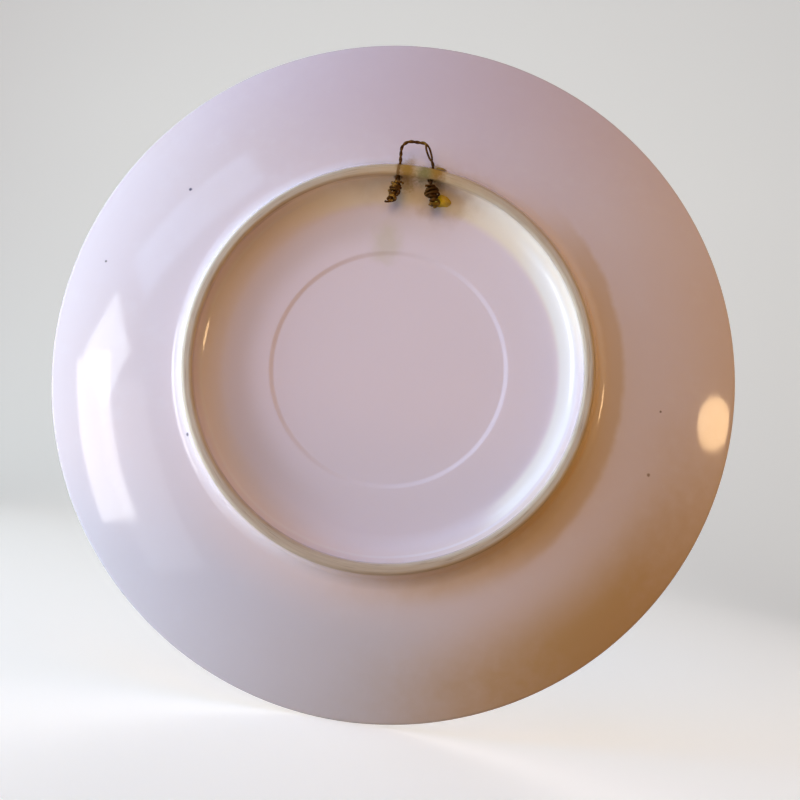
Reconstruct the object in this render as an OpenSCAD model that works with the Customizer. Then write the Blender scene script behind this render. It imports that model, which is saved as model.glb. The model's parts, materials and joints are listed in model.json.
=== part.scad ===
// Souvenir wall plate: a glazed coupe plate with a pierced foot ring and a wire hanger.
// The plate hangs upright. +X is to the right seen from the back, +Y points to the front
// and +Z is up. The origin is where a nail carries the wire loop.

/* [Plate] */
// Diameter over the lip
plate_d = 250; // [200:1:300]
// Height from the foot's contact face to the top of the lip
plate_h = 27; // [22:0.5:36]
// Thickness of the clay in the well
well_t = 4.6; // [3.5:0.1:7]
// Thickness of the rounded lip
lip_t = 4; // [2.5:0.1:6]
// Diameter of the flat part of the well on the front
well_d = 120; // [90:1:140]
// Slope of the underside where it reaches the lip, in degrees
lip_slope = 27; // [18:1:34]
// Slope of the underside where it leaves the foot, in degrees
shoulder_slope = 9; // [4:1:16]

/* [Foot ring] */
// Middle diameter of the contact face
foot_d = 138; // [120:0.2:150]
// Width of the foot ring at its contact face
foot_w = 3.8; // [2.6:0.1:5]
// Depth of the recess inside the ring
recess_h = 8.4; // [7.5:0.1:11]
// How much deeper the recess is at the step than at the ring's cove
floor_fall = 0.4; // [0:0.05:0.8]
// Depth outside the ring, where the underside starts
shoulder_h = 8.6; // [7.5:0.1:11]
// Lean of the ring's outer wall, in degrees
foot_draft = 18; // [5:1:25]
// Rounding of the contact face's two edges
foot_edge_r = 1.3; // [0.3:0.1:1.5]
// Width of the cove between the inner wall and the recess
inner_cove_w = 10; // [5:0.1:11]
// Radius of the cove between the outer wall and the underside
outer_cove_r = 5.5; // [3:0.1:7]

/* [Centre disc] */
// Diameter of the soft step in the recess
step_d = 82.4; // [50:0.2:100]
// Depth of the disc below the rest of the recess
step_h = 0.55; // [0.1:0.05:1]
// Width of the step's soft edge
step_w = 2.2; // [1:0.1:6]

/* [Hanger holes] */
// Diameter of the two holes through the foot ring
hole_d = 2.6; // [2.2:0.1:3.4]
// Distance between the holes
hole_gap = 11.6; // [10:0.1:20]
// Depth of the holes' axis below the contact face
hole_inset = 2.6; // [2.2:0.1:4]

/* [Hanger wire] */
// Diameter of the wire
wire_d = 1; // [0.7:0.05:1.1]
// Height of the loop's top above the middle of the ring's wall
loop_h = 10.8; // [9:0.1:20]
// Straight length of each leg above the middle of the ring's wall
leg_up = 3.2; // [2.5:0.1:5]
// Straight length of each leg below the middle of the ring's wall
leg_down = 4.1; // [2.4:0.1:5]
// How far the loop's left shoulder leans out over its leg
shoulder_lean = 0.6; // [0:0.1:2]
// How far the loop's right corner lies inside its leg
corner_lean = 3.6; // [0:0.1:5]
// Bend radius of the left shoulder
shoulder_bend_r = 3.4; // [2:0.1:4.5]
// Bend radius of the right corner
corner_bend_r = 1; // [0.8:0.1:3]
// Bend radius at both ends of each straight leg
leg_bend_r = 2; // [1:0.1:4]

/* [Wound ends] */
// Pitch of the windings
wrap_pitch = 1.5; // [1.5:0.05:2.5]
// Distance from each leg's lower bend to the topmost winding
wrap_drop = 1.2; // [0.8:0.1:3]
// Radius of the tight windings, at the wire's middle
wrap_r = 1.6; // [1.55:0.05:2.2]
// Radius of the loose windings near the right hole, at the wire's middle
loose_r = 2; // [1.6:0.05:2.4]
// Windings at the left end
left_turns = 3.5; // [2.5:1:4.5]
// Windings at the right end
right_turns = 4.5; // [3.5:1:5.5]
// Splay of the left wound end, in degrees
left_splay = 11; // [0:1:25]
// Splay of the right wound end, in degrees
right_splay = 20; // [0:1:25]
// Length of the cut tails
tail_l = 2; // [1:0.1:3]

/* [Glue] */
// Diameter of the dried pool in the recess
pool_d = 9; // [5:0.1:12]
// Thickness of the pool
pool_h = 1.4; // [0.6:0.1:1.8]
// Distance of the pool's middle beyond the right hole
pool_out = 5.7; // [4:0.1:12]
// How far the pool's middle lies up the cove, in degrees
pool_up = 30; // [0:1:30]
// Diameter of the dab outside the ring
dab_d = 2.8; // [1.5:0.1:3]
// Distance of the dab's middle beyond the right hole
dab_out = 2.9; // [2.4:0.1:5]

/* [Hidden] */

// Steps in a full circle of the turned shapes, and of the small round ones
turned_fn = 180;
small_fn = 48;
// Points along each curve of the outline
curve_steps = 14;
// Points along each small arc of the outline
arc_steps = 6;
// Handle length of a curve, as a share of its span
curve_handle = 0.36;
// Slope of the well's front where it reaches the lip, in degrees
front_slope = 26;

// Radii of the foot ring and the plate
plate_r = plate_d / 2;
lip_r = lip_t / 2;
foot_in = (foot_d - foot_w) / 2;
foot_out = (foot_d + foot_w) / 2;
step_r = step_d / 2;
front_h = recess_h + well_t;
disc_h = recess_h + floor_fall + step_h;
// Depth of the inner cove, from the ring's rounded edge to the recess
inner_cove_h = recess_h - foot_edge_r;

// Place of the plate's axis and of the ring's wall at the holes, below the loop's top
inner_cove_at = [foot_in - inner_cove_w, foot_edge_r];
wall_in = inner_cove_at[0] + inner_cove_w * sqrt(1 - pow((hole_inset - foot_edge_r) / inner_cove_h, 2));
wall_out = foot_out + hole_inset * tan(foot_draft);
wall_mid = (wall_in + wall_out) / 2;
leg_x = hole_gap / 2;
pivot_z = wire_d / 2 - loop_h;
axis_z = pivot_z - sqrt(wall_mid * wall_mid - leg_x * leg_x);
hole_l = 3 * (wall_out - wall_in);

// Sampling of the wire
wire_sides = 6;
bend_steps = 6;
rings_per_turn = 24;
// Length of wire over which neighbours don't count as a gap
gap_skip = 4 * wire_d;
// Side of the wire that its first ring starts from
first_side = [0, 1, 0.2];
// Shares of a winding after which it starts to widen, and over which it widens
widen_from = 0.3;
widen_over = 0.5;
// Place of the winding's end on its turn, in degrees: just past the point nearest the wall
tail_turn = 72;

// Points on an arc about a centre, from one angle to another
function arc(at, r, from, to, steps) =
    [for (i = [0 : steps]) let (a = from + (to - from) * i / steps) at + r * [cos(a), sin(a)]];

// From the inner cove's middle to its surface, at an angle from the recess up to the wall
function cove_out(a) = [inner_cove_w * sin(a), inner_cove_h * cos(a)];

// Points on a smooth curve between two points with given slopes, the last point left out
function curve(p, p_slope, q, q_slope) =
    let (h = curve_handle * norm(q - p) * sign(q[0] - p[0]))
    let (a = p + h * [cos(p_slope), sin(p_slope)], b = q - h * [cos(q_slope), sin(q_slope)])
    [for (i = [1 : curve_steps - 1])
        let (t = i / curve_steps, s = 1 - t)
        s * s * s * p + 3 * s * s * t * a + 3 * s * t * t * b + t * t * t * q];

// Points up the soft step from the disc to the rest of the recess
function step_edge() =
    [for (i = [0 : arc_steps])
        let (t = i / arc_steps)
        [step_r - step_w / 2 + step_w * t, disc_h - step_h * (1 - cos(180 * t)) / 2]];

// Inside of the recess from its middle to the contact face: radius and depth
recess_line = concat(
    step_edge(),
    [for (i = [0 : curve_steps])
        inner_cove_at + cove_out(90 * i / curve_steps)],
    arc([foot_in + foot_edge_r, foot_edge_r], foot_edge_r, 180, 270, arc_steps));

// Outer wall of the ring, its cove and the start of the underside
wall_angle = 90 - foot_draft;
shoulder_r = foot_out + outer_cove_r * (sin(wall_angle) - sin(shoulder_slope))
    + tan(foot_draft) * (shoulder_h - outer_cove_r * (cos(shoulder_slope) - cos(wall_angle)));
outer_cove_at = [shoulder_r, shoulder_h] + outer_cove_r * [sin(shoulder_slope), -cos(shoulder_slope)];
foot_line = concat(
    arc([foot_out - foot_edge_r, foot_edge_r], foot_edge_r, 270, 360 - foot_draft, arc_steps),
    arc(outer_cove_at, outer_cove_r, 90 + wall_angle, 90 + shoulder_slope, arc_steps));

// Lip, with the underside and the front that run into it
lip_at = [plate_r - lip_r, plate_h - lip_r];
lip_line = arc(lip_at, lip_r, lip_slope - 90, front_slope + 90, 2 * arc_steps);
lip_back = lip_line[0];
lip_front = lip_line[len(lip_line) - 1];
well_edge = [well_d / 2, front_h];

plate_line = concat(
    [[0, front_h], [0, disc_h]],
    recess_line,
    foot_line,
    curve([shoulder_r, shoulder_h], shoulder_slope, lip_back, lip_slope),
    lip_line,
    curve(lip_front, front_slope, well_edge, 0),
    [well_edge]);

// Space inside the recess, up to the contact face
recess_space = concat([[0, 0], [0, disc_h]], recess_line);

// Turns an outline of radius and depth about the plate's axis
module turned(outline) {
    translate([0, -hole_inset, axis_z])
        rotate([-90, 0, 0])
            rotate_extrude($fn = turned_fn)
                polygon(outline);
}

// Points where a bend of radius r rounds the corner between two straight lengths of wire
function bend(p, corner, q, r) =
    let (u = (p - corner) / norm(p - corner), v = (q - corner) / norm(q - corner))
    let (half = acos(u * v) / 2, back = r / tan(half))
    let (middle = corner + (u + v) / norm(u + v) * r / sin(half))
    let (e = (corner + u * back - middle) / r, f = (corner + v * back - middle) / r)
    let (turn = 180 - 2 * half, side = (f - e * cos(turn)) / sin(turn))
    [for (i = [0 : bend_steps])
        let (a = turn * i / bend_steps) middle + r * (e * cos(a) + side * sin(a))];

// Length of a leg from its lower bend to its lower end, inside the windings
function end_l(turns) = wrap_pitch * turns + wrap_drop;

// Radius of the winding: it leaves the leg in half a turn, and may widen on its way up
function wound_r(angle, turns, wide_r) =
    let (share = min(1, max(0, (angle / (360 * turns) - widen_from) / widen_over)))
    angle < 180 ? wrap_r * (1 - cos(angle)) / 2
    : wrap_r + (wide_r - wrap_r) * (1 - cos(180 * share)) / 2;

// Height of the winding above the leg's lower end: it dips below, then climbs
function wound_h(angle) =
    wrap_pitch * max(0, angle - 90) / 360 - (angle < 180 ? wrap_r / 2 * sin(angle) : 0);

// A wound end: the leg's lower end, then turns back up around the leg and a cut tail.
// side is -1 for the left end and 1 for the right one.
function wound_end(side, turns, wide_r, splay) =
    let (top = [side * leg_x, 0, pivot_z - leg_down])
    let (up = [-side * sin(splay), 0, cos(splay)], across = [side * cos(splay), 0, sin(splay)])
    let (foot = top - up * end_l(turns), depth = [0, 1, 0])
    let (last = 360 * turns + 90, steps = ceil(last / 360 * rings_per_turn))
    let (start = -last - tail_turn)
    let (points = [for (i = [0 : steps])
        let (angle = last * i / steps, a = start + angle)
        foot + up * wound_h(angle)
            + wound_r(angle, turns, wide_r) * (-across * cos(a) + depth * sin(a))])
    let (n = len(points), way = points[n - 1] - points[n - 2])
    concat(points, [points[n - 1] + tail_l * way / norm(way)]);

// The wire from the lower end of one leg over the loop to the lower end of the other
function loop_line(left_foot, right_foot) =
    let (corners = [
        left_foot,
        [-leg_x, 0, pivot_z - leg_down],
        [-leg_x, 0, pivot_z + leg_up],
        [-leg_x - shoulder_lean, 0, pivot_z + loop_h],
        [leg_x - corner_lean, 0, pivot_z + loop_h],
        [leg_x, 0, pivot_z + leg_up],
        [leg_x, 0, pivot_z - leg_down],
        right_foot])
    let (radii = [0, leg_bend_r, leg_bend_r, shoulder_bend_r, corner_bend_r, leg_bend_r, leg_bend_r])
    [for (i = [1 : len(corners) - 2])
        each bend(corners[i - 1], corners[i], corners[i + 1], radii[i])];

function reversed(list) = [for (i = [len(list) - 1 : -1 : 0]) list[i]];

left_end = wound_end(-1, left_turns, wrap_r, left_splay);
right_end = wound_end(1, right_turns, loose_r, right_splay);
wire_line = concat(reversed(left_end), loop_line(left_end[0], right_end[0]), right_end);

// Length of wire up to each point
function lengths(line) =
    [for (i = 0, sum = 0; i < len(line);
        sum = sum + (i + 1 < len(line) ? norm(line[i + 1] - line[i]) : 0), i = i + 1) sum];

// Least gap of the wire to itself, leaving out neighbours along the wire
function least_gap(line, along) =
    min([for (i = [0 : len(line) - 1])
        for (j = [i + 1 : 1 : len(line) - 1])
            if (along[j] - along[i] > gap_skip) norm(line[j] - line[i])]) - wire_d;

wire_lengths = lengths(wire_line);
echo(wire_length = wire_lengths[len(wire_lengths) - 1]);
echo(wire_least_gap = least_gap(wire_line, wire_lengths));

// Direction of the wire at a point
function way_at(line, i) =
    let (d = line[min(i + 1, len(line) - 1)] - line[max(i - 1, 0)]) d / norm(d);

// A direction made square to the wire
function squared(v, way) = let (w = v - way * (v * way)) w / norm(w);

// Sides of the wire at each point, carried along without twist
function sides_along(line) =
    [for (i = 0, v = squared(first_side, way_at(line, 0)); i < len(line);
        i = i + 1, v = squared(v, way_at(line, i))) v];

module tube(line, d) {
    n = len(line);
    sides = sides_along(line);
    points = [for (i = [0 : n - 1])
        let (v = sides[i], w = cross(way_at(line, i), v))
        for (k = [0 : wire_sides - 1])
            let (a = 360 * k / wire_sides) line[i] + d / 2 * (v * cos(a) + w * sin(a))];
    skin = [for (i = [0 : n - 2])
        for (k = [0 : wire_sides - 1])
            let (a = i * wire_sides + k, b = i * wire_sides + (k + 1) % wire_sides)
            each [[a, a + wire_sides, b], [b, a + wire_sides, b + wire_sides]]];
    last = (n - 1) * wire_sides;
    caps = [for (k = [1 : wire_sides - 2])
        each [[0, k, k + 1], [last, last + k + 1, last + k]]];
    polyhedron(points, concat(skin, caps));
}

// Point at a radius and depth of the plate, to the right of the middle by x
function on_plate(x, r, depth) = [x, depth - hole_inset, axis_z + sqrt(r * r - x * x)];

module plate() {
    color("mistyrose")
        difference() {
            turned(plate_line);
            for (side = [-1, 1])
                translate([side * leg_x, 0, pivot_z])
                    cylinder(d = hole_d, h = hole_l, center = true, $fn = small_fn);
        }
}

module hanger_wire() {
    color("darkgoldenrod") tube(wire_line, wire_d);
}

module glue_pool() {
    ball_r = (pool_d * pool_d / 4 + pool_h * pool_h) / (2 * pool_h);
    way = [sin(pool_up) / inner_cove_w, cos(pool_up) / inner_cove_h];
    ball_at = inner_cove_at + cove_out(pool_up) + (ball_r - pool_h) * way / norm(way);
    color("gold")
        intersection() {
            translate(on_plate(leg_x + pool_out, ball_at[0], ball_at[1]))
                sphere(r = ball_r, $fn = turned_fn);
            turned(recess_space);
        }
}

module glue_dab() {
    color("goldenrod")
        difference() {
            translate(on_plate(leg_x + dab_out, wall_out, hole_inset))
                sphere(d = dab_d, $fn = small_fn);
            turned(plate_line);
        }
}

plate();
hanger_wire();
glue_pool();
glue_dab();
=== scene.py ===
# Souvenir wall plate seen from the back: glazed plate, twisted wire hanger and old glue.
import json
import math

import bpy
from mathutils import Matrix, Quaternion, Vector


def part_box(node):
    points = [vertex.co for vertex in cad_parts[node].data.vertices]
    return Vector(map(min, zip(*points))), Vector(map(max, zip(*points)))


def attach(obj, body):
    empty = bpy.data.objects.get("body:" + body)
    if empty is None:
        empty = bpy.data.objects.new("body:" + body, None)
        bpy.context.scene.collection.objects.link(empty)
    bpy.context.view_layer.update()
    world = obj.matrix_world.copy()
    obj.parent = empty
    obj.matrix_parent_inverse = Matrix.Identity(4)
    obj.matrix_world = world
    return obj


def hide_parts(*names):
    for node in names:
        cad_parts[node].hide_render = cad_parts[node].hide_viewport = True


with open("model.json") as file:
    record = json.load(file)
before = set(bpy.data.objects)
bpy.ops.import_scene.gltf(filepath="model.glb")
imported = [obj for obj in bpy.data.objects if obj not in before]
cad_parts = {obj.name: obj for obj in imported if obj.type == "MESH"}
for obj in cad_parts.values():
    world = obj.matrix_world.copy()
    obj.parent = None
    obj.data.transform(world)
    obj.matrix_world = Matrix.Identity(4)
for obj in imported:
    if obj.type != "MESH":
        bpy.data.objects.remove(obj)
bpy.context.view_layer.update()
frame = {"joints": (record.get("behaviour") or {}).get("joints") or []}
mm = 0.001

plateLow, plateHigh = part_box("plate")
plateAxisZ = (plateLow.z + plateHigh.z) / 2 / mm  # the plate's own axis, in millimetres
contactY = plateLow.y / mm  # contact face of the foot ring
pivotZ = frame["joints"][0]["pos_m"][2] / mm  # middle of the ring's wall, where the wire passes
print("frame loaded, plate axis at", round(plateAxisZ, 2), "mm")


# shader maths

class Sock:
    # a node socket that can be written in sums
    def __init__(self, tree, socket=None):
        self.tree = tree
        self.socket = socket

    def node(self, kind, settings, inputs, out=0):
        made = self.tree.nodes.new(kind)
        for name, value in settings.items():
            setattr(made, name, value)
        for key, value in inputs.items():
            if isinstance(value, Sock):
                self.tree.links.new(value.socket, made.inputs[key])
            else:
                made.inputs[key].default_value = value
        return Sock(self.tree, made.outputs[out])

    def math(self, operation, *values):
        return self.node("ShaderNodeMath", {"operation": operation}, dict(enumerate(values)))

    def __add__(self, other):
        return self.math("ADD", self, other)

    def __sub__(self, other):
        return self.math("SUBTRACT", self, other)

    def __rsub__(self, other):
        return self.math("SUBTRACT", other, self)

    def __mul__(self, other):
        return self.math("MULTIPLY", self, other)

    def __truediv__(self, other):
        return self.math("DIVIDE", self, other)

    def __pow__(self, other):
        return self.math("POWER", self, other)

    def __abs__(self):
        return self.math("ABSOLUTE", self)

    __radd__ = __add__
    __rmul__ = __mul__

    def ease(self, low, high):
        # 0 at low and 1 at high, smooth in between
        return self.node("ShaderNodeMapRange", {"interpolation_type": "SMOOTHSTEP"},
                         {0: self, 1: low, 2: high, 3: 0.0, 4: 1.0})

    def band(self, middle, half, soft):
        # 1 within half of the middle, fading out over soft
        return abs(self - middle).ease(half + soft, half)

    def most(self, other):
        return self.math("MAXIMUM", self, other)

    def least(self, other):
        return self.math("MINIMUM", self, other)


def tint(base, colour, share):
    # lays a colour over another one
    wide = [(*c, 1) if isinstance(c, tuple) else c for c in (base, colour)]
    return share.node("ShaderNodeMix", {"data_type": "RGBA"}, {0: share, 6: wide[0], 7: wide[1]}, 2)


def noise(place, size, detail=2.0, rough=0.5):
    # size is in millimetres
    return place.node("ShaderNodeTexNoise", {},
                      {"Vector": place, "Scale": 1 / (size * mm), "Detail": detail, "Roughness": rough})


def inMillimetres(place):
    # right, away from the wall and up, in the frame
    split = place.node("ShaderNodeSeparateXYZ", {}, {0: place}).socket.node
    return [Sock(place.tree, socket) * (1 / mm) for socket in split.outputs]


def newMaterial(name):
    material = bpy.data.materials.new(name)
    material.use_nodes = True
    tree = material.node_tree
    shader = next(n for n in tree.nodes if n.type == "BSDF_PRINCIPLED")
    place = Sock(tree).node("ShaderNodeTexCoord", {}, {}, 3)  # object coordinates are the frame's
    return material, shader, place


def feed(shader, tree, **values):
    # underscores in the names stand for spaces
    for name, value in values.items():
        socket = shader.inputs[name.replace("_", " ")]
        if isinstance(value, Sock):
            tree.links.new(value.socket, socket)
        elif isinstance(value, tuple):
            socket.default_value = (*value, 1)
        else:
            socket.default_value = value


def bumped(layers):
    # layers are pairs of a height from 0 to 1 and its depth in millimetres
    normal = None
    for height, depth in layers:
        inputs = {"Strength": 1.0, "Distance": depth * mm, "Height": height}
        if normal is not None:
            inputs["Normal"] = normal
        normal = height.node("ShaderNodeBump", {}, inputs)
    return normal


# camera and studio

view = dict(
    lens=45.0, sensor=36.0, clipStart=0.01,
    distance=365.1,        # from the aim to the camera
    below=5.62,            # degrees under the plate's axis
    toRight=1.73,          # degrees to the right of it
    roll=8.2,              # the plate stands a little turned in the picture
    aim=(3.72, -9.52),     # right and up from the lip's middle
    lipDepth=25.0)         # of the lip's widest circle, from the contact face


def inPicture(right, back, up):
    # a direction given as the picture shows it, in the plate's frame
    turn = math.radians(view["roll"])
    c, s = math.cos(turn), math.sin(turn)
    return Vector((right * c - up * s, back, right * s + up * c))


def makeCamera():
    below, toRight = math.radians(view["below"]), math.radians(view["toRight"])
    lip = Vector((0, view["lipDepth"] + contactY, plateAxisZ))
    aim = lip + inPicture(view["aim"][0], 0, view["aim"][1])
    back = inPicture(math.sin(toRight) * math.cos(below), -math.cos(toRight) * math.cos(below),
                     -math.sin(below))
    right = inPicture(0, 0, 1).cross(back).normalized()
    up = back.cross(right)
    data = bpy.data.cameras.new("camera")
    data.lens = view["lens"]
    data.sensor_width = view["sensor"]
    data.clip_start = view["clipStart"]
    camera = bpy.data.objects.new("camera", data)
    turned = Matrix((right, up, back)).transposed().to_4x4()
    camera.matrix_world = Matrix.Translation((aim + back * view["distance"]) * mm) @ turned
    bpy.context.scene.collection.objects.link(camera)
    bpy.context.scene.camera = camera


studio = dict(
    floorColour=(0.72, 0.705, 0.71), floorGlow=(0.42, 0.415, 0.41),
    floorRough=0.85, floorSize=6.0, sweepR=0.8, sweepSteps=24, wallAt=1.7, wallTop=3.5,
    skyColour=(0.46, 0.435, 0.42), skyLight=(0.0, 0.0, 0.0),
    openSpread=180.0, frontSpread=40.0,  # the panel before the front keeps off the floor
    # name, shape, degrees to the left, degrees up, turned, distance, width, height, watts, colour, mirrored
    panels=[
        ("roomPanel", "RECTANGLE", 10, 20, 0, 1.5, 1.0, 1.0, 9.2, (1.0, 0.66, 0.22), False),
        ("nearPanel", "RECTANGLE", 45, 10, 0, 1.3, 1.0, 1.0, 3.7, (0.30, 0.48, 1.0), False),
        ("softPanel", "RECTANGLE", 68, 20, 0, 1.3, 1.0, 1.0, 7.75, (0.24, 0.55, 1.0), False),
        ("farPanel", "RECTANGLE", 84, 8, 0, 1.3, 1.0, 1.0, 15.0, (0.67, 0.88, 1.0), False),
        ("wallPanel", "RECTANGLE", 94, 6, 0, 1.3, 1.0, 1.0, 9.0, (0.92, 1.0, 0.65), False),
        ("lowPanel", "RECTANGLE", 86, -30, 0, 1.3, 1.0, 0.8, 4.0, (1.0, 0.83, 0.68), False),
        ("topPanel", "RECTANGLE", 0, 62, 0, 1.3, 1.0, 0.8, 3.3, (0.28, 0.56, 1.0), False),
        ("warmPanel", "RECTANGLE", -80, 0, 0, 1.2, 1.0, 1.6, 6.2, (1.0, 0.46, 0.03), False),
        ("shelfPanel", "RECTANGLE", 60, -72, 0, 1.2, 0.8, 0.6, 1.4, (1.0, 0.72, 0.40), False),
        ("frontPanel", "RECTANGLE", 180, 15, 0, 1.4, 0.9, 0.9, 1.9, (1.0, 0.97, 0.94), False),
        ("windowPanel", "RECTANGLE", 60, -4.5, 9, 1.3, 0.31, 0.64, 3.5, (1.0, 0.97, 0.92), True),
        ("highWindowPanel", "RECTANGLE", 56, 10, 50, 1.3, 0.30, 0.30, 1.6, (0.86, 0.94, 1.0), True),
        ("doorPanel", "RECTANGLE", 48, -11, 14, 1.3, 0.40, 0.75, 1.1, (0.85, 0.90, 1.0), True),
        ("skyPanel", "RECTANGLE", 40, 31, -35, 1.4, 0.28, 0.62, 1.2, (0.50, 0.70, 1.0), True),
        ("lampPanel", "ELLIPSE", -67.0, -2.6, 0, 1.1, 0.245, 0.18, 1.45, (1.0, 0.66, 0.34), True)])


def makePanel(name, shape, left, up, turned, distance, width, height, watts, colour, mirrored):
    turn, rise = math.radians(left), math.radians(up)
    way = inPicture(-math.sin(turn) * math.cos(rise), -math.cos(turn) * math.cos(rise), math.sin(rise))
    data = bpy.data.lights.new(name, "AREA")
    data.shape = shape
    data.size, data.size_y = width, height
    data.energy = watts
    data.color = colour
    data.spread = math.radians(studio["frontSpread" if name == "frontPanel" else "openSpread"])
    panel = bpy.data.objects.new(name, data)
    centre = Vector((0, contactY, plateAxisZ)) * mm
    panel.location = centre + way * distance
    panel.rotation_mode = "QUATERNION"
    panel.rotation_quaternion = way.to_track_quat("Z", "Y") @ Quaternion((0, 0, 1), math.radians(turned))
    panel.visible_camera = False
    panel.visible_diffuse = not mirrored  # soft panels light the glaze and mirrored ones only show in it
    panel.visible_glossy = mirrored
    bpy.context.scene.collection.objects.link(panel)


def seenRays(tree):
    # 1 where the camera, a mirror or a glass looks
    rays = tree.nodes.new("ShaderNodeLightPath")
    seen = [Sock(tree, rays.outputs["Is %s Ray" % kind]) for kind in ("Camera", "Glossy", "Transmission")]
    return seen[0].most(seen[1]).most(seen[2])


def makeStudio():
    scene = bpy.context.scene
    scene.view_settings.view_transform = "Standard"
    floorZ = plateLow.z
    half, sweep, steps = studio["floorSize"] / 2, studio["sweepR"], studio["sweepSteps"]
    side = [(-half, floorZ)]
    for i in range(steps + 1):
        a = math.radians(90 * i / steps)
        side.append((studio["wallAt"] - sweep + sweep * math.sin(a), floorZ + sweep * (1 - math.cos(a))))
    side.append((studio["wallAt"], floorZ + studio["wallTop"]))
    points = [(x, y, z) for y, z in side for x in (-half, half)]
    faces = [(2 * i, 2 * i + 1, 2 * i + 3, 2 * i + 2) for i in range(len(side) - 1)]
    mesh = bpy.data.meshes.new("floor")
    mesh.from_pydata(points, [], faces)
    mesh.shade_smooth()
    floor = bpy.data.objects.new("floor", mesh)
    scene.collection.objects.link(floor)
    material, shader, place = newMaterial("paleFloor")
    seen = seenRays(place.tree)
    feed(shader, place.tree, Base_Color=studio["floorColour"], Roughness=studio["floorRough"],
         Emission_Strength=1.0, Emission_Color=tint((0.0, 0.0, 0.0), studio["floorGlow"], seen))
    mesh.materials.append(material)
    floor.visible_diffuse = False  # the floor takes the shadow and sends no light back
    floor.visible_glossy = False
    floor.visible_shadow = False

    world = bpy.data.worlds.new("studio")
    world.use_nodes = True
    scene.world = world
    tree = world.node_tree
    sky = next(n for n in tree.nodes if n.type == "BACKGROUND")
    shown = tint(studio["skyLight"], studio["skyColour"], seenRays(tree))
    tree.links.new(shown.socket, sky.inputs["Color"])
    for panel in studio["panels"]:
        makePanel(*panel)
    print("camera, floor and", len(studio["panels"]), "panels set")


makeCamera()
makeStudio()


# glazed plate

plate = dict(
    plateD=250.0, plateH=27.0, wellT=4.6, lipT=4.0, wellD=120.0,
    lipSlope=27.0, shoulderSlope=9.0, frontSlope=26.0,
    footD=138.0, footW=3.8, recessH=8.4, floorFall=0.4, shoulderH=8.6, footDraft=18.0, footEdgeR=1.3,
    innerCoveW=10.0, outerCoveR=5.5,
    stepD=82.4, stepH=0.55, stepW=2.2,
    holeD=2.6, holeGap=11.6, drillL=14.0, drillSteps=40,
    discRings=(2, 6, 12, 20, 28, 34), wellRings=(52, 42, 30, 20, 12, 6, 2),
    stepRings=16, coveRings=30, edgeRings=10, flatRings=6, wallRings=8, outerCoveRings=18, curveRings=44,
    lipRings=24, around=384, curveHandle=0.36, sharpAngle=42.0)


def arcLine(at, r, start, end, steps):
    line = []
    for i in range(steps + 1):
        a = math.radians(start + (end - start) * i / steps)
        line.append((at[0] + r * math.cos(a), at[1] + r * math.sin(a)))
    return line


def curveLine(p, pSlope, q, qSlope, steps):
    # the same smooth curve as in the solid, without its two ends
    span = math.dist(p, q) * plate["curveHandle"] * math.copysign(1, q[0] - p[0])
    a = (p[0] + span * math.cos(math.radians(pSlope)), p[1] + span * math.sin(math.radians(pSlope)))
    b = (q[0] - span * math.cos(math.radians(qSlope)), q[1] - span * math.sin(math.radians(qSlope)))
    line = []
    for i in range(1, steps):
        t = i / steps
        s = 1 - t
        line.append(tuple(s ** 3 * p[k] + 3 * s * s * t * a[k] + 3 * s * t * t * b[k] + t ** 3 * q[k]
                          for k in (0, 1)))
    return line


def evenLine(p, q, steps):
    return [tuple(p[k] + (q[k] - p[k]) * i / steps for k in (0, 1)) for i in range(1, steps)]


footIn = (plate["footD"] - plate["footW"]) / 2
footOut = (plate["footD"] + plate["footW"]) / 2
innerCoveAt = (footIn - plate["innerCoveW"], plate["footEdgeR"])
innerCoveH = plate["recessH"] - plate["footEdgeR"]
lipR = plate["lipT"] / 2
legX = plate["holeGap"] / 2


def coveAt(angle, lift):
    # radius and depth on the inner cove, at an angle from the recess up to the wall
    out = Vector((plate["innerCoveW"] * math.sin(angle), innerCoveH * math.cos(angle)))
    way = Vector((math.sin(angle) / plate["innerCoveW"], math.cos(angle) / innerCoveH)).normalized()
    return tuple(Vector(innerCoveAt) + out - lift * way)


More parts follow.
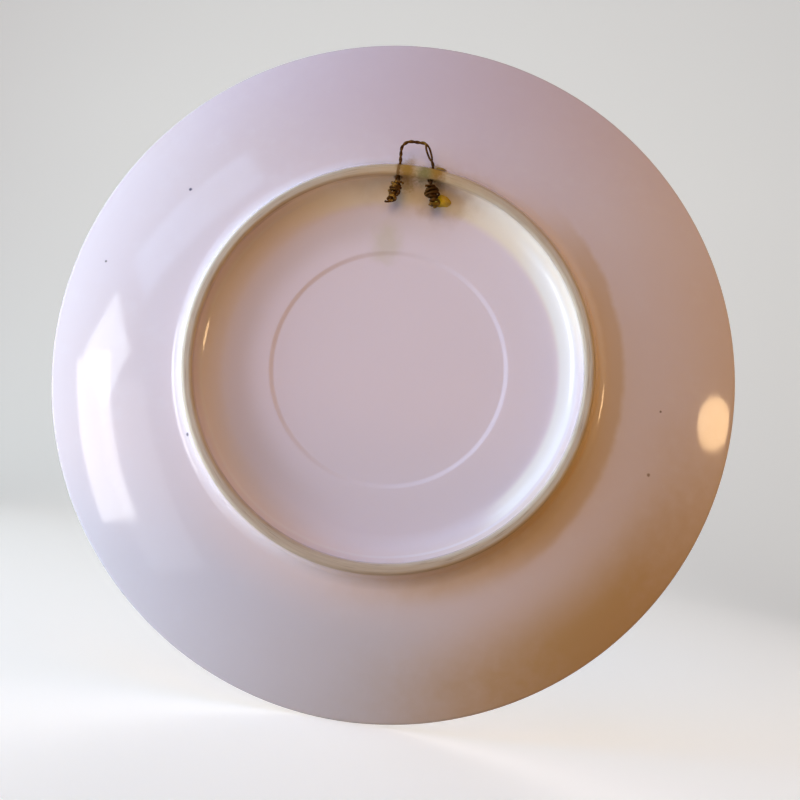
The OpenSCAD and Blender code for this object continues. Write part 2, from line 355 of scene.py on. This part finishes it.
def backLine():
    # radius and depth from the middle of the recess out to the back of the lip
    p = plate
    stepIn, stepOut = p["stepD"] / 2 - p["stepW"] / 2, p["stepD"] / 2 + p["stepW"] / 2
    discH = p["recessH"] + p["floorFall"] + p["stepH"]
    line = [(r, discH) for r in p["discRings"]]
    for i in range(p["stepRings"] + 1):
        t = i / p["stepRings"]
        line.append((stepIn + (stepOut - stepIn) * t, discH - p["stepH"] * (1 - math.cos(math.pi * t)) / 2))
    line += evenLine(line[-1], (innerCoveAt[0], p["recessH"]), p["flatRings"])
    line += [coveAt(math.pi / 2 * i / p["coveRings"], 0) for i in range(p["coveRings"] + 1)]
    edgeR, edgeSteps = p["footEdgeR"], p["edgeRings"]
    line += arcLine((footIn + edgeR, edgeR), edgeR, 180, 270, edgeSteps)
    line += evenLine(line[-1], (footOut - edgeR, 0), p["flatRings"])
    line += arcLine((footOut - edgeR, edgeR), edgeR, 270, 360 - p["footDraft"], edgeSteps)
    wall, slope = math.radians(90 - p["footDraft"]), math.radians(p["shoulderSlope"])
    fall = p["shoulderH"] - p["outerCoveR"] * (math.cos(slope) - math.cos(wall))
    shoulderR = (footOut + p["outerCoveR"] * (math.sin(wall) - math.sin(slope))
                 + math.tan(math.radians(p["footDraft"])) * fall)
    outerAt = (shoulderR + p["outerCoveR"] * math.sin(slope),
               p["shoulderH"] - p["outerCoveR"] * math.cos(slope))
    cove = arcLine(outerAt, p["outerCoveR"], 180 - p["footDraft"], 90 + p["shoulderSlope"],
                   p["outerCoveRings"])
    line += evenLine(line[-1], cove[0], p["wallRings"]) + cove
    lip = lipLine()
    line += curveLine((shoulderR, p["shoulderH"]), p["shoulderSlope"], lip[0], p["lipSlope"],
                      p["curveRings"])
    return line


def lipLine():
    p = plate
    at = (p["plateD"] / 2 - lipR, p["plateH"] - lipR)
    return arcLine(at, lipR, p["lipSlope"] - 90, p["frontSlope"] + 90, p["lipRings"])


def frontLine():
    p = plate
    lip = lipLine()
    edge = (p["wellD"] / 2, p["recessH"] + p["wellT"])
    line = curveLine(lip[-1], p["frontSlope"], edge, 0, p["curveRings"]) + [edge]
    return line + [(r, edge[1]) for r in p["wellRings"]]


def onPlate(r, turn, depth):
    # turn is clockwise from the top as seen from the back, in radians
    return Vector((r * math.sin(turn), depth + contactY, plateAxisZ + r * math.cos(turn)))


def addPiece(name, points, faces, materials, smooth=True):
    mesh = bpy.data.meshes.new(name)
    mesh.from_pydata([p * mm for p in points], [], faces)
    for material in materials:
        mesh.materials.append(material)
    if smooth:
        mesh.shade_smooth()
    piece = bpy.data.objects.new(name, mesh)
    bpy.context.scene.collection.objects.link(piece)
    return piece


def latheMesh(outline, around):
    points, faces = [], []
    for r, depth in outline:
        points += [onPlate(r, 2 * math.pi * k / around, depth) for k in range(around)]
    for i in range(len(outline) - 1):
        for k in range(around):
            a, b = i * around + k, i * around + (k + 1) % around
            faces.append((a, b, b + around, a + around))
    last = (len(outline) - 1) * around
    points += [onPlate(0, 0, outline[0][1]), onPlate(0, 0, outline[-1][1])]
    hub = len(points) - 2
    for k in range(around):
        n = (k + 1) % around
        faces.append((hub, n, k))
        faces.append((hub + 1, last + k, last + n))
    return points, faces


def drillHoles(piece):
    # two straight holes down through the foot ring for the wire
    steps, length, r = plate["drillSteps"], plate["drillL"], plate["holeD"] / 2
    for side in (-1, 1):
        points = []
        for z in (-length / 2, length / 2):
            for k in range(steps):
                a = 2 * math.pi * k / steps
                points.append(Vector((side * legX + r * math.cos(a), r * math.sin(a), pivotZ + z)))
        faces = [(k, (k + 1) % steps, steps + (k + 1) % steps, steps + k) for k in range(steps)]
        faces += [tuple(reversed(range(steps))), tuple(range(steps, 2 * steps))]
        drill = addPiece("drill", points, faces, [], smooth=False)
        cut = piece.modifiers.new("hole", "BOOLEAN")
        cut.operation = "DIFFERENCE"
        cut.solver = "EXACT"
        cut.object = drill
        graph = bpy.context.evaluated_depsgraph_get()
        drilled = bpy.data.meshes.new_from_object(piece.evaluated_get(graph))
        piece.modifiers.clear()
        piece.data = drilled
        bpy.data.objects.remove(drill)
    piece.data.shade_smooth()
    piece.data.set_sharp_from_angle(angle=math.radians(plate["sharpAngle"]))


glaze = dict(
    ivory=(0.81, 0.695, 0.765), ivoryWarm=(0.80, 0.665, 0.70), ivoryPale=(0.84, 0.75, 0.825),
    clay=(0.50, 0.40, 0.31), clayPale=(0.66, 0.56, 0.44), clayDull=(0.42, 0.31, 0.22),
    grimeAndShade=(0.17, 0.105, 0.055),
    oldGlue=(0.36, 0.19, 0.025), rust=(0.38, 0.19, 0.02), verdigris=(0.21, 0.18, 0.05),
    yellowStainAndShade=(0.62, 0.41, 0.20), roseTopShade=(0.68, 0.53, 0.64), recessPale=(0.90, 0.775, 0.885),
    shaded=(0.45, 0.58, 0.80), coveWarmLight=(1.0, 0.89, 0.77), coveLitPale=(1.0, 0.97, 0.99),
    ringFloorShade=(0.50, 0.37, 0.29), wireRust=(0.20, 0.092, 0.014), glueRun=(0.66, 0.60, 0.44),
    gloss=0.07, scuffSize=(0.28, 9.0),
    # radii where a tint begins and is full, or the middle, half width and soft edge of its band
    recessEdge=(68, 58), stainShadeRim=(86, 114), footShadeBand=(73, 3.5, 9), ringShadowBand=(79, 2, 3),
    coolRim=(72, 95), coolRecess=(66, 60), warmLightBand=(64.5, 3.5, 3.5), litPaleBand=(62.3, 1.8, 2.2),
    ringFloorShadeBand=(56.5, 3.0, 11.0),
    # washed traces: colour, right and up from the axis, width, height, softness, raggedness, share
    washes=[("glueRun", (-7.0, 44.5), 4.5, 6.0, 0.7, 1.0, 0.45),
            ("yellowStainAndShade", (1.5, 65.0), 19.0, 7.0, 0.8, 0.7, 0.60),
            ("oldGlue", (11.0, 60.5), 8.0, 6.0, 0.6, 1.0, 0.30)],
    # small stains, all as ragged: colour, right and up, width, height, softness, share
    stains=[("oldGlue", (-3.0, 69.0), 2.6, 5.0, 0.8, 0.97), ("rust", (7.2, 69.8), 3.0, 3.5, 0.6, 0.97),
            ("wireRust", (8.4, 66.0), 2.1, 2.6, 0.7, 0.55), ("verdigris", (3.4, 68.5), 2.5, 2.4, 0.8, 0.90)],
    # right and up from the plate's axis, radius, colour
    specks=[(-80.7, 55.4, 0.55, (0.015, 0.015, 0.09)), (-108.5, 25.9, 0.42, (0.08, 0.06, 0.06)),
            (96.4, -1.4, 0.38, (0.16, 0.09, 0.05)), (-65.6, -32.8, 0.6, (0.10, 0.09, 0.16)),
            (94.9, -23.9, 0.55, (0.30, 0.19, 0.11))])


def glazeBody(place):
    # what both faces share: places on the plate and the colour and waves of the glaze
    x, y, z = inMillimetres(place)
    depth, up = y - contactY, z - plateAxisZ
    r = (x * x + up * up) ** 0.5
    cloud, mottle = noise(place, 55, 3), noise(place, 9, 4, 0.6)
    colour = tint(glaze["ivory"], glaze["ivoryWarm"], cloud.ease(0.45, 0.75) * 0.6)
    colour = tint(colour, glaze["ivoryPale"], mottle.ease(0.5, 0.8) * 0.35)
    waves = [(noise(place, 26, 2), 0.05), (noise(place, 1.6, 2), 0.002)]
    return x, up, depth, r, colour, waves


def spot(x, up, at, wide, tall, soft, ragged):
    # an uneven patch round a point of the plate
    far = (((x - at[0]) / wide) ** 2 + ((up - at[1]) / tall) ** 2) ** 0.5
    return (far + ragged).ease(1 + soft, 1 - soft)


def turnOf(x, up):
    # share of a full turn, clockwise from the top as seen from the back
    return x.math("ARCTAN2", x, up) / (2 * math.pi)


def streaks(place, r, turn, wide, long):
    # fine marks that run round the plate: their width and length in millimetres
    around = math.pi * plate["footD"] / long
    lane = place.node("ShaderNodeCombineXYZ", {}, {0: r / wide, 1: turn * around})
    return place.node("ShaderNodeTexNoise", {}, {"Vector": lane, "Scale": 1.0, "Detail": 3.0})


def backGlaze():
    material, shader, place = newMaterial("backGlaze")
    x, up, depth, r, colour, waves = glazeBody(place)
    fine, medium = noise(place, 0.9, 4, 0.65), noise(place, 4.5, 3)
    long = noise(place, 24, 2)
    g = glaze

    # tints fixed to the plate, partly painted light and shade that the panels don't give: the recess is
    # painted paler, the rim is yellowed and painted with warm shade low on the right, and painted with rose
    # shade at the top
    uneven = (medium - 0.5) * 0.4 + (long - 0.5) * 0.5
    colour = tint(colour, g["recessPale"], (r + uneven * 6).ease(*g["recessEdge"]) * 0.95)
    # yellowing with painted warm shade low on the right, on the rim and round the outer foot
    yellowAndShade = r.ease(*g["stainShadeRim"]).most(r.band(*g["footShadeBand"]) * 0.8)
    colour = tint(colour, g["yellowStainAndShade"], spot(x, up, (82, -81), 53, 53, 0.9, uneven) * yellowAndShade)
    # painted warm shadow of the ring, in a band to its right
    yellowAndShade = (r + uneven * 4).band(*g["ringShadowBand"]) * x.ease(45, 70)
    colour = tint(colour, g["yellowStainAndShade"], yellowAndShade * 0.5)
    # painted rose shade, darker at the top of the rim
    colour = tint(colour, g["roseTopShade"], spot(x, up, (0, 112), 85, 34, 0.9, uneven) * 0.6)

    # painted shade, cool, low on the left and low in the recess; painted light on the inner wall, warm high
    # on the right and pale at the right
    cool = up.ease(-35, -85) * r.ease(*g["coolRim"]) * x.ease(55, 0)
    colour = tint(colour, g["shaded"], cool * 0.32)
    colour = tint(colour, g["shaded"], up.ease(-5, -45) * r.ease(*g["coolRecess"]) * 0.15)
    # painted warm light on the inner wall, high on the right
    high = (up + x * 0.35 + uneven * 8).ease(22, 50) * r.band(*g["warmLightBand"])
    colour = tint(colour, g["coveWarmLight"], high * 0.9)
    colour = tint(colour, g["coveLitPale"], r.band(*g["litPaleBand"]) * x.ease(36, 50) * 0.9)

    for sx, sz, size, dark in g["specks"]:
        speck = spot(x, up, (sx, sz), size, size, 0.55, (fine - 0.5) * 0.8)
        colour = tint(colour, dark, speck * 0.85)

    # the ring's contact face was wiped bare before firing; scuffs run along it, and grime with painted shade
    # lies in its edges
    scuffs = streaks(place, r, turnOf(x, up), *g["scuffSize"])
    bare = (depth + (fine - 0.5) * 0.3 - 0.9 * r.ease(footOut - 0.6, footOut)).ease(1.15, 0.75)
    clay = tint(g["clayPale"], g["clay"], scuffs.ease(0.3, 0.75))
    clay = tint(clay, g["clayDull"], (up * up).ease(900, 3000) * 0.45)
    colour = tint(colour, clay, bare * 0.9)
    inside, outside = r.ease(footIn + 1.3, footIn + 0.5), r.ease(footOut - 0.7, footOut - 0.3)
    patchy = 0.35 + 0.65 * long.ease(0.4, 0.6)
    dark = (depth.band(1.5, 0.4, 0.8) * inside * 0.35).most(depth.band(0.75, 0.10, 0.2) * outside * 0.5)
    dark = dark.most(scuffs.ease(0.58, 0.72) * depth.ease(0.8, 0.3) * 0.6)
    colour = tint(colour, g["grimeAndShade"], dark * patchy * 0.75)

    # a painted highlight runs in a line on the inner wall, and painted shade of the ring lies on the floor
    # where the cove meets it, on the left
    highlightLine = (depth + (long - 0.5) * 0.8).band(5.4, 0.15, 0.45) * r.ease(footIn + 0.5, footIn)
    colour = tint(colour, g["ivoryPale"], highlightLine * (1 - high) * 0.8)
    ringFloorShade = (r + (long - 0.5) * 3).band(*g["ringFloorShadeBand"]) * (x - up * 0.3).ease(15, -35)
    colour = tint(colour, g["ringFloorShade"], ringFloorShade * 0.3)

    # traces of the hanger: glue, rust and green
    ragged = (medium - 0.5) * 1.1
    for name, at, wide, tall, soft, rough, share in g["washes"]:
        colour = tint(colour, g[name], spot(x, up, at, wide, tall, soft, ragged * rough) * share)
    ragged = ragged + (fine - 0.5) * 1.2
    trail = (x + (fine - 0.5) * 0.6).band(-legX - 0.1, 0.35, 0.4) * up.ease(64, 65.5) * up.ease(72.5, 71)
    stains = trail
    for name, at, wide, tall, soft, share in g["stains"]:
        stain = spot(x, up, at, wide, tall, soft, ragged)
        colour = tint(colour, g[name], stain * share)
        stains = stains.most(stain)
    colour = tint(colour, g["wireRust"], trail * 0.88)

    holes = None
    for side in (-1, 1):
        off = ((x - side * legX) ** 2 + (depth + contactY) ** 2) ** 0.5
        ring = (off + (fine - 0.5) * 0.7).ease(1.9, 1.3) * up.ease(58, 62)
        holes = ring if holes is None else holes.most(ring)
    colour = tint(colour, g["wireRust"], holes * 0.45)

    roughness = g["gloss"] + mottleRough(place) + 0.5 * bare + 0.25 * stains + 0.2 * holes
    waves += [(scuffs * bare, 0.05)]
    feed(shader, place.tree, Base_Color=colour, Roughness=roughness.least(0.95), IOR=1.5,
         Normal=bumped(waves))
    return material


def mottleRough(place):
    return noise(place, 14, 3).ease(0.4, 0.8) * 0.05


ornament = dict(
    blue=(0.028, 0.055, 0.30), bluePale=(0.16, 0.24, 0.52), gold=(0.56, 0.36, 0.10),
    lipLine=(122.2, 1.0), borderLines=[(116.5, 0.45), (84.5, 0.8), (81.8, 0.3), (52.0, 0.5)],
    leaves=24, leafR=(87.0, 114.0), leafW=0.30, leafSweep=0.55, berriesR=94.0, berryPitch=30.0, berryR=2.3,
    dots=48, dotsR=(56.5, 1.0),
    petals=8, petalR=40.0, heartR=6.5)


def frontGlaze():
    # a plain traditional ornament of lines, leaves and a rosette in brushed blue
    material, shader, place = newMaterial("frontGlaze")
    x, up, depth, r, colour, waves = glazeBody(place)
    turn = turnOf(x, up)
    brush, fine = noise(place, 3.5, 3, 0.6), noise(place, 0.8, 3)
    shaky = (brush - 0.5) * 0.9
    o = ornament

    lines = None
    for middle, half in o["borderLines"]:
        line = (r + shaky * 0.5).band(middle, half, 0.25)
        lines = line if lines is None else lines.most(line)

    def period(count, shift=0.0):
        # place across one repeat, from -0.5 to 0.5
        share = turn * count + shift
        return share.math("FRACT", share) - 0.5

    low, high = o["leafR"]
    along = ((r - low) / (high - low)).least(1.0).most(0.0)
    lean = period(o["leaves"]) - (along - 0.5) * o["leafSweep"]  # leaves sweep to one side
    width = o["leafW"] * along.math("SINE", along * math.pi) ** 0.8
    leaf = (width - abs(lean) + shaky * 0.04).ease(-0.01, 0.03)
    vein = abs(lean).ease(0.03, 0.012) * along.ease(0.1, 0.2)
    leaf = leaf * (1 - vein * 0.8)
    between = period(o["leaves"], 0.5)
    berry = ((between * o["berryPitch"]) ** 2 + (r - o["berriesR"]) ** 2) ** 0.5
    berries = (berry + shaky).ease(o["berryR"] + 0.3, o["berryR"] - 0.3)

    beadsR, beadR = o["dotsR"]
    bead = ((period(o["dots"]) * (2 * math.pi * beadsR / o["dots"])) ** 2 + (r - beadsR) ** 2) ** 0.5
    beads = (bead + shaky * 0.4).ease(beadR + 0.2, beadR - 0.2)

    reach = abs(turn.math("COSINE", turn * (o["petals"] * math.pi)))
    tip = o["heartR"] + 3 + (o["petalR"] - o["heartR"] - 3) * reach ** 0.7
    petal = (tip - r + shaky).ease(-0.4, 0.4) * r.ease(o["heartR"] + 2, o["heartR"] + 3)
    shade = ((tip - r) / o["petalR"]).ease(0.0, 0.35)
    heart = (r + shaky).ease(o["heartR"] + 0.4, o["heartR"] - 0.4)

    strong = lines.most(leaf).most(berries).most(beads).most(heart)
    strong = strong.most(petal * (1 - shade * 0.75))
    wash = petal * shade * 0.55
    ink = tint(o["blue"], o["bluePale"], brush.ease(0.45, 0.85))
    colour = tint(colour, o["bluePale"], wash)
    colour = tint(colour, ink, strong * (0.82 + 0.18 * fine))
    edge = (r + shaky * 0.3).band(*o["lipLine"], 0.35)
    colour = tint(colour, o["gold"], edge * (0.75 + 0.25 * fine))
    roughness = glaze["gloss"] + mottleRough(place) + 0.1 * edge
    feed(shader, place.tree, Base_Color=colour, Roughness=roughness, IOR=1.5, Normal=bumped(waves))
    return material


def makePlate():
    back, lip, front = backLine(), lipLine(), frontLine()
    points, faces = latheMesh(back + lip + front, plate["around"])
    piece = addPiece("glazedPlate", points, faces, [backGlaze(), frontGlaze()])
    frontFrom = (len(back) + len(lip) // 2) * plate["around"]
    hubs = len(faces) - 2 * plate["around"]
    for polygon in piece.data.polygons:
        i = polygon.index
        onFront = frontFrom <= i < hubs if i < hubs else (i - hubs) % 2 == 1
        polygon.material_index = 1 if onFront else 0
    drillHoles(piece)
    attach(piece, "plate_body")
    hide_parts("plate")
    print("plate turned,", len(piece.data.polygons), "faces")


makePlate()


# twisted wire hanger, along the same route as the solid

hanger = dict(
    loopH=10.8, legUp=3.2, legDown=4.1, shoulderLean=0.6, cornerLean=3.6,
    shoulderBendR=3.4, cornerBendR=1.0, legBendR=2.0, bendSteps=12,
    # each wound end: lean, length of the leg in it, then turns made, radius and height over its foot,
    # first for both strands and then for the one that goes on as a second layer
    left=dict(splay=11.0, length=6.4,
              pair=[(0, 0, 0), (0.25, 0.7, -0.4), (0.5, 1.0, -0.2), (1.1, 1.2, 0.8), (4.75, 1.1, 5.4)],
              single=[(4.75, 1.1, 5.4), (5.2, 1.5, 5.4), (6.4, 1.8, 4.1), (7.5, 1.7, 2.2),
                      (8.1, 1.5, -0.1), (8.6, 1.6, -1.8)],
              spur=(0.9, -0.25, -0.9)),
    right=dict(splay=20.0, length=7.1,
               pair=[(0, 0, 0), (0.25, 0.9, -0.5), (0.5, 1.35, 0.0), (1.7, 1.5, 1.2), (2.5, 1.15, 2.7),
                     (5.75, 1.25, 6.1)],
               single=[(5.75, 1.25, 6.1), (6.2, 1.75, 5.9), (7.9, 2.15, 4.9), (9.8, 2.05, 3.5)],
               spur=(-0.9, -0.25, -0.5)),
    flat=(1.10, 0.94),     # the turns are wider along the wall than away from it
    tilt=0.28, raised=0.25, uneven=0.08, ringsPerTurn=40,
    strandR=0.37, strandOff=0.23, lay=4.2, sides=10, step=0.13,
    # places where the two strands have come apart: right, up, length, extra offset
    loose=[(3.9, -2.9, 3.4, 0.42), (-6.6, -14.6, 3.2, 0.34)],
    wobble=0.16, spurL=2.3, lookBack=6, blend=12, sharpAngle=50.0)


def roundedCorner(p, corner, q, r):
    u, v = (p - corner).normalized(), (q - corner).normalized()
    half = u.angle(v) / 2
    back = r / math.tan(half)
    middle = corner + (u + v).normalized() * r / math.sin(half)
    e, f = (corner + u * back - middle) / r, (corner + v * back - middle) / r
    turn = math.pi - 2 * half
    side = (f - e * math.cos(turn)) / math.sin(turn)
    steps = hanger["bendSteps"]
    return [middle + r * (e * math.cos(turn * i / steps) + side * math.sin(turn * i / steps))
            for i in range(steps + 1)]


def between(stops, turn):
    # radius and height at a number of turns, eased from stop to stop
    for (t, *low), (u, *high) in zip(stops, stops[1:]):
        if turn <= u:
            share = (turn - t) / (u - t)
            return [a + (b - a) * share for a, b in zip(low, high)]
    return high


def windings(side, coil, stops):
    # turns round the leg's lower end; the pair ends in front, on its way to the loop's middle
    lean = math.radians(coil["splay"])
    up = Vector((-side * math.sin(lean), 0, math.cos(lean)))
    across = Vector((side * math.cos(lean), 0, math.sin(lean)))
    foot = Vector((side * legX, 0, pivotZ - hanger["legDown"])) - up * coil["length"]
    first, last = stops[0][0], stops[-1][0]
    steps = math.ceil((last - first) * hanger["ringsPerTurn"])
    line = []
    for i in range(steps + 1):
        turn = first + (last - first) * i / steps
        r, rise = between(stops, turn)
        a = 2 * math.pi * (turn - coil["pair"][-1][0]) - math.pi / 2
        tilt, raised = hanger["tilt"] * math.sin(a * 1.37 + 0.7 * turn), hanger["raised"] * math.sin(a)
        rise += min(1, r) * (tilt - raised)
        r *= 1 + hanger["uneven"] * math.sin(a * 0.61 + side)
        line.append(foot + up * rise - across * (r * hanger["flat"][0] * math.cos(a))
                    + Vector((0, r * hanger["flat"][1] * math.sin(a), 0)))
    return smoothed(line, 4)


def wireRoute():
    h = hanger
    left = windings(-1, h["left"], h["left"]["pair"])
    right = windings(1, h["right"], h["right"]["pair"])
    low, high, top = pivotZ - h["legDown"], pivotZ + h["legUp"], pivotZ + h["loopH"]
    corners = [left[0], Vector((-legX, 0, low)), Vector((-legX, 0, high)),
               Vector((-legX - h["shoulderLean"], 0, top)), Vector((legX - h["cornerLean"], 0, top)),
               Vector((legX, 0, high)), Vector((legX, 0, low)), right[0]]
    legR = h["legBendR"]
    radii = [legR, legR, h["shoulderBendR"], h["cornerBendR"], legR, legR]
    loop = []
    for i, r in enumerate(radii):
        loop += roundedCorner(corners[i], corners[i + 1], corners[i + 2], r)
    return evenSteps(left[::-1] + loop + right, h["step"]), lineLength(left), lineLength(right)


def lineLength(line):
    return sum((b - a).length for a, b in zip(line, line[1:]))


def evenSteps(line, step):
    # points at equal distances along a line
    made, left = [line[0].copy()], step
    for a, b in zip(line, line[1:]):
        span = (b - a).length
        while span > 1e-9 and left <= span:
            made.append(a.lerp(b, left / span))
            left += step
        left -= span
    return made


def smoothed(line, times):
    for _ in range(times):
        line = [line[0]] + [(a + b * 2 + c) / 4 for a, b, c in zip(line, line[1:], line[2:])] + [line[-1]]
    return line


def sidesAlong(line):
    # a direction square to the line at each point, carried along without twist
    sides, side = [], Vector((0.1, 1, 0.2))
    for i in range(len(line)):
        way = (line[min(i + 1, len(line) - 1)] - line[max(i - 1, 0)]).normalized()
        side = (side - way * side.dot(way)).normalized()
        sides.append((side.copy(), way.cross(side)))
    return sides


def tubeMesh(line, r, sides, points, faces):
    first = len(points)
    for p, (v, w) in zip(line, sidesAlong(line)):
        points += [p + r * (v * math.cos(2 * math.pi * k / sides) + w * math.sin(2 * math.pi * k / sides))
                   for k in range(sides)]
    for i in range(len(line) - 1):
        for k in range(sides):
            a, b = first + i * sides + k, first + i * sides + (k + 1) % sides
            faces.append((a, b, b + sides, a + sides))
    faces.append(tuple(first + k for k in reversed(range(sides))))
    faces.append(tuple(first + (len(line) - 1) * sides + k for k in range(sides)))


def strandLines():
    h = hanger
    line, leftEnd, rightEnd = wireRoute()
    line = smoothed(line, 6)
    total = len(line) * h["step"]
    phase, strands = 0.0, ([], [])
    for i, (p, (v, w)) in enumerate(zip(line, sidesAlong(line))):
        along = i * h["step"]
        knot = min(1, 4 * max(0, 1 - along / leftEnd, 1 - (total - along) / rightEnd))
        loose = 0.0
        for x, z, reach, extra in h["loose"]:
            near = max(0, 1 - ((p.x - x) ** 2 + (p.z - z) ** 2) / reach ** 2) * (1 - knot)
            loose = max(loose, extra * near * near * (3 - 2 * near))
        off = h["strandOff"] + loose
        phase += 2 * math.pi * h["step"] / h["lay"] * (1 - min(0.9, 3 * loose))
        sway = h["wobble"] * knot * Vector((math.sin(along * 1.3), 0.6 * math.sin(along * 0.61 + 1.7),
                                            math.sin(along * 0.87 + 0.6)))
        for k, strand in enumerate(strands):
            a = phase + math.pi * k
            strand.append(p + sway + off * (v * math.cos(a) + w * math.sin(a)))
    return [looseEnds(strand, k) for k, strand in enumerate(strands)]


def looseEnds(strand, which):
    # one strand is cut off in a spur at each end, the other goes on as a second layer
    h = hanger
    ends = []
    back = h["lookBack"]
    for side, coil, near, inner in ((-1, h["left"], strand[0], strand[back]),
                                    (1, h["right"], strand[-1], strand[-1 - back])):
        way = (near - inner).normalized()
        if which == 0:
            steps = round(h["spurL"] / h["step"])
            bend = Vector(coil["spur"])
            ends.append([near + (way + bend * i / steps).normalized() * h["step"] * i
                         for i in range(1, steps + 1)])
        else:
            layer = windings(side, coil, coil["single"])
            layer = evenSteps(layer, h["step"])
            off = near - layer[0]
            ends.append([q + off * max(0, 1 - i / h["blend"]) for i, q in enumerate(layer)][1:])
    return smoothed(ends[0][::-1] + strand + ends[1], 3)


brass = dict(
    dark=(0.045, 0.015, 0.002), brown=(0.15, 0.060, 0.008), gold=(0.50, 0.27, 0.05),
    green=(0.075, 0.055, 0.008), glue=(0.42, 0.26, 0.02))


def oldBrass(name, wear):
    material, shader, place = newMaterial(name)
    fine, medium, long = noise(place, 0.35, 4, 0.6), noise(place, 1.4, 3), noise(place, 5, 2)
    x, _, z = inMillimetres(place)
    high = x.ease(3, 6) * z.ease(-21, -17)  # the upper part of the right wound end is the darkest
    rubbed = x.ease(-4, -6) * z.ease(-12, -14)  # the left wound end shows more bare metal
    worn = (medium * 0.6 + fine * 0.4 + wear + 0.09 * rubbed - 0.12 * high).ease(0.55, 0.70)
    green = (long * 0.5 + medium * 0.5).ease(0.50, 0.62)
    green = green * (z.ease(-8, -14) * x.ease(-3, 1)).most(spot(x, z, (0, 0.5), 2, 1, 0.5, 0))
    colour = tint(brass["dark"], brass["brown"], medium.ease(0.3, 0.65))
    colour = tint(colour, brass["gold"], worn * 0.7)
    colour = tint(colour, brass["green"], green * 0.7)
    colour = tint(colour, brass["dark"], high * 0.75)
    glued = spot(x, z, (10.5, -22.0), 2.6, 2.2, 0.6, medium - 0.5)
    colour = tint(colour, brass["glue"], glued * 0.5)
    feed(shader, place.tree, Base_Color=colour, Metallic=0.85 * worn * (1 - 0.8 * green),
         Specular_IOR_Level=0.08, Roughness=0.55 - 0.25 * worn + 0.2 * green,
         Normal=bumped([(fine, 0.04), (medium, 0.06)]))
    return material


def makeHanger():
    points, faces, strandOf = [], [], []
    for k, strand in enumerate(strandLines()):
        tubeMesh(strand, hanger["strandR"], hanger["sides"], points, faces)
        strandOf += [k] * (len(faces) - len(strandOf))
    metals = [oldBrass("wornBrass", 0.02), oldBrass("darkBrass", -0.06)]
    piece = addPiece("twistedWire", points, faces, metals)
    piece.data.polygons.foreach_set("material_index", strandOf)
    piece.data.set_sharp_from_angle(angle=math.radians(hanger["sharpAngle"]))
    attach(piece, "hanger")
    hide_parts("hanger_wire")
    print("wire twisted,", len(points), "points")


makeHanger()


# old glue

glue = dict(
    amber=(0.90, 0.60, 0.008), deep=(0.24, 0.13, 0.012), pale=(0.90, 0.68, 0.10),
    pool=dict(x=10.3, along=5.5, wide=3.1, tall=2.6, thick=1.2, brown=0.25),
    dab=dict(x=8.7, along=2.4, wide=1.9, tall=1.5, thick=0.7, brown=1.0),
    thickShare=0.62, rings=14, around=56, sunk=0.06)


def recessAt(along, lift):
    # radius and depth on the recess floor and up its cove
    if along < 0:
        return innerCoveAt[0] + along, plate["recessH"] - lift
    return coveAt(along / plate["innerCoveW"], lift)


def outerWallAt(along, lift):
    # radius and depth down the ring's outer wall
    draft = math.radians(plate["footDraft"])
    return (footOut + along * math.tan(draft) + lift * math.cos(draft), along - lift * math.sin(draft))


def dropMesh(shape, surface):
    # a drop with an uneven outline that lies on a surface
    rings, around = glue["rings"], glue["around"]
    baseR = surface(shape["along"], 0)[0]
    middle = math.asin(shape["x"] / baseR)

    def place(share, a, lift):
        edge = 1 + 0.10 * math.sin(2 * a + 0.8) + 0.07 * math.sin(3 * a + 2.1) + 0.03 * math.sin(7 * a)
        u = share * edge * shape["wide"] * math.cos(a)
        v = shape["along"] + share * edge * shape["tall"] * math.sin(a)
        r, depth = surface(v, lift)
        return onPlate(r, middle + u / baseR, depth)

    def height(share, a):
        lump = 1 + 0.16 * share * math.sin(2 * a + 0.4) + 0.10 * share * math.sin(5 * a)
        return shape["thick"] * (1 - share ** 2.2) ** 0.75 * lump

    points, faces = [place(0, 0, height(0, 0)), place(0, 0, -glue["sunk"])], []
    for layer in (1, -1):
        for i in range(1, rings + 1):
            share = math.sin(math.pi / 2 * i / rings)
            for k in range(around):
                a = 2 * math.pi * k / around
                lift = height(share, a) - glue["sunk"] * share if layer == 1 else -glue["sunk"]
                points.append(place(share, a, lift))
    for layer in (0, 1):
        first = 2 + layer * rings * around
        for k in range(around):
            n = (k + 1) % around
            cap = (layer, first + k, first + n)
            faces.append(cap if layer == 0 else cap[::-1])
            for i in range(rings - 1):
                a, b = first + i * around + k, first + i * around + n
                quad = (a, a + around, b + around, b)
                faces.append(quad if layer == 0 else quad[::-1])
    return points, faces


def driedGlue(name, shape, surface):
    # clear and yellow where it is thick, thin and brown towards its edge
    material, shader, place = newMaterial(name)
    x, _, z = inMillimetres(place)
    cloud, fine = noise(place, 2.2, 3), noise(place, 0.7, 3)
    middle = math.sqrt(surface(shape["along"], 0)[0] ** 2 - shape["x"] ** 2)
    wide, tall = shape["wide"] * glue["thickShare"], shape["tall"] * glue["thickShare"]
    inner = spot(x, z - plateAxisZ, (shape["x"], middle), wide, tall, 0.7, (cloud - 0.5) * 0.8)
    colour = tint(glue["deep"], glue["amber"], inner.most(1 - shape["brown"]) * (1 - 0.9 * shape["brown"]))
    colour = tint(colour, glue["pale"], fine.ease(0.5, 0.8) * inner * (0.5 - 0.5 * shape["brown"]))
    feed(shader, place.tree, Base_Color=colour, Roughness=0.16 + 0.25 * fine.ease(0.5, 0.8), IOR=1.48,
         Alpha=0.72 + 0.28 * inner, Normal=bumped([(cloud, 0.25), (fine, 0.03)]))
    return material


def makeGlue():
    for name, node, surface, key in (("gluePool", "glue_pool", recessAt, "pool"),
                                     ("glueDab", "glue_dab", outerWallAt, "dab")):
        shape = glue[key]
        points, faces = dropMesh(shape, surface)
        piece = addPiece(name, points, faces, [driedGlue(name + "Amber", shape, surface)])
        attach(piece, "plate_body")
        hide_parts(node)
    print("glue laid")


makeGlue()
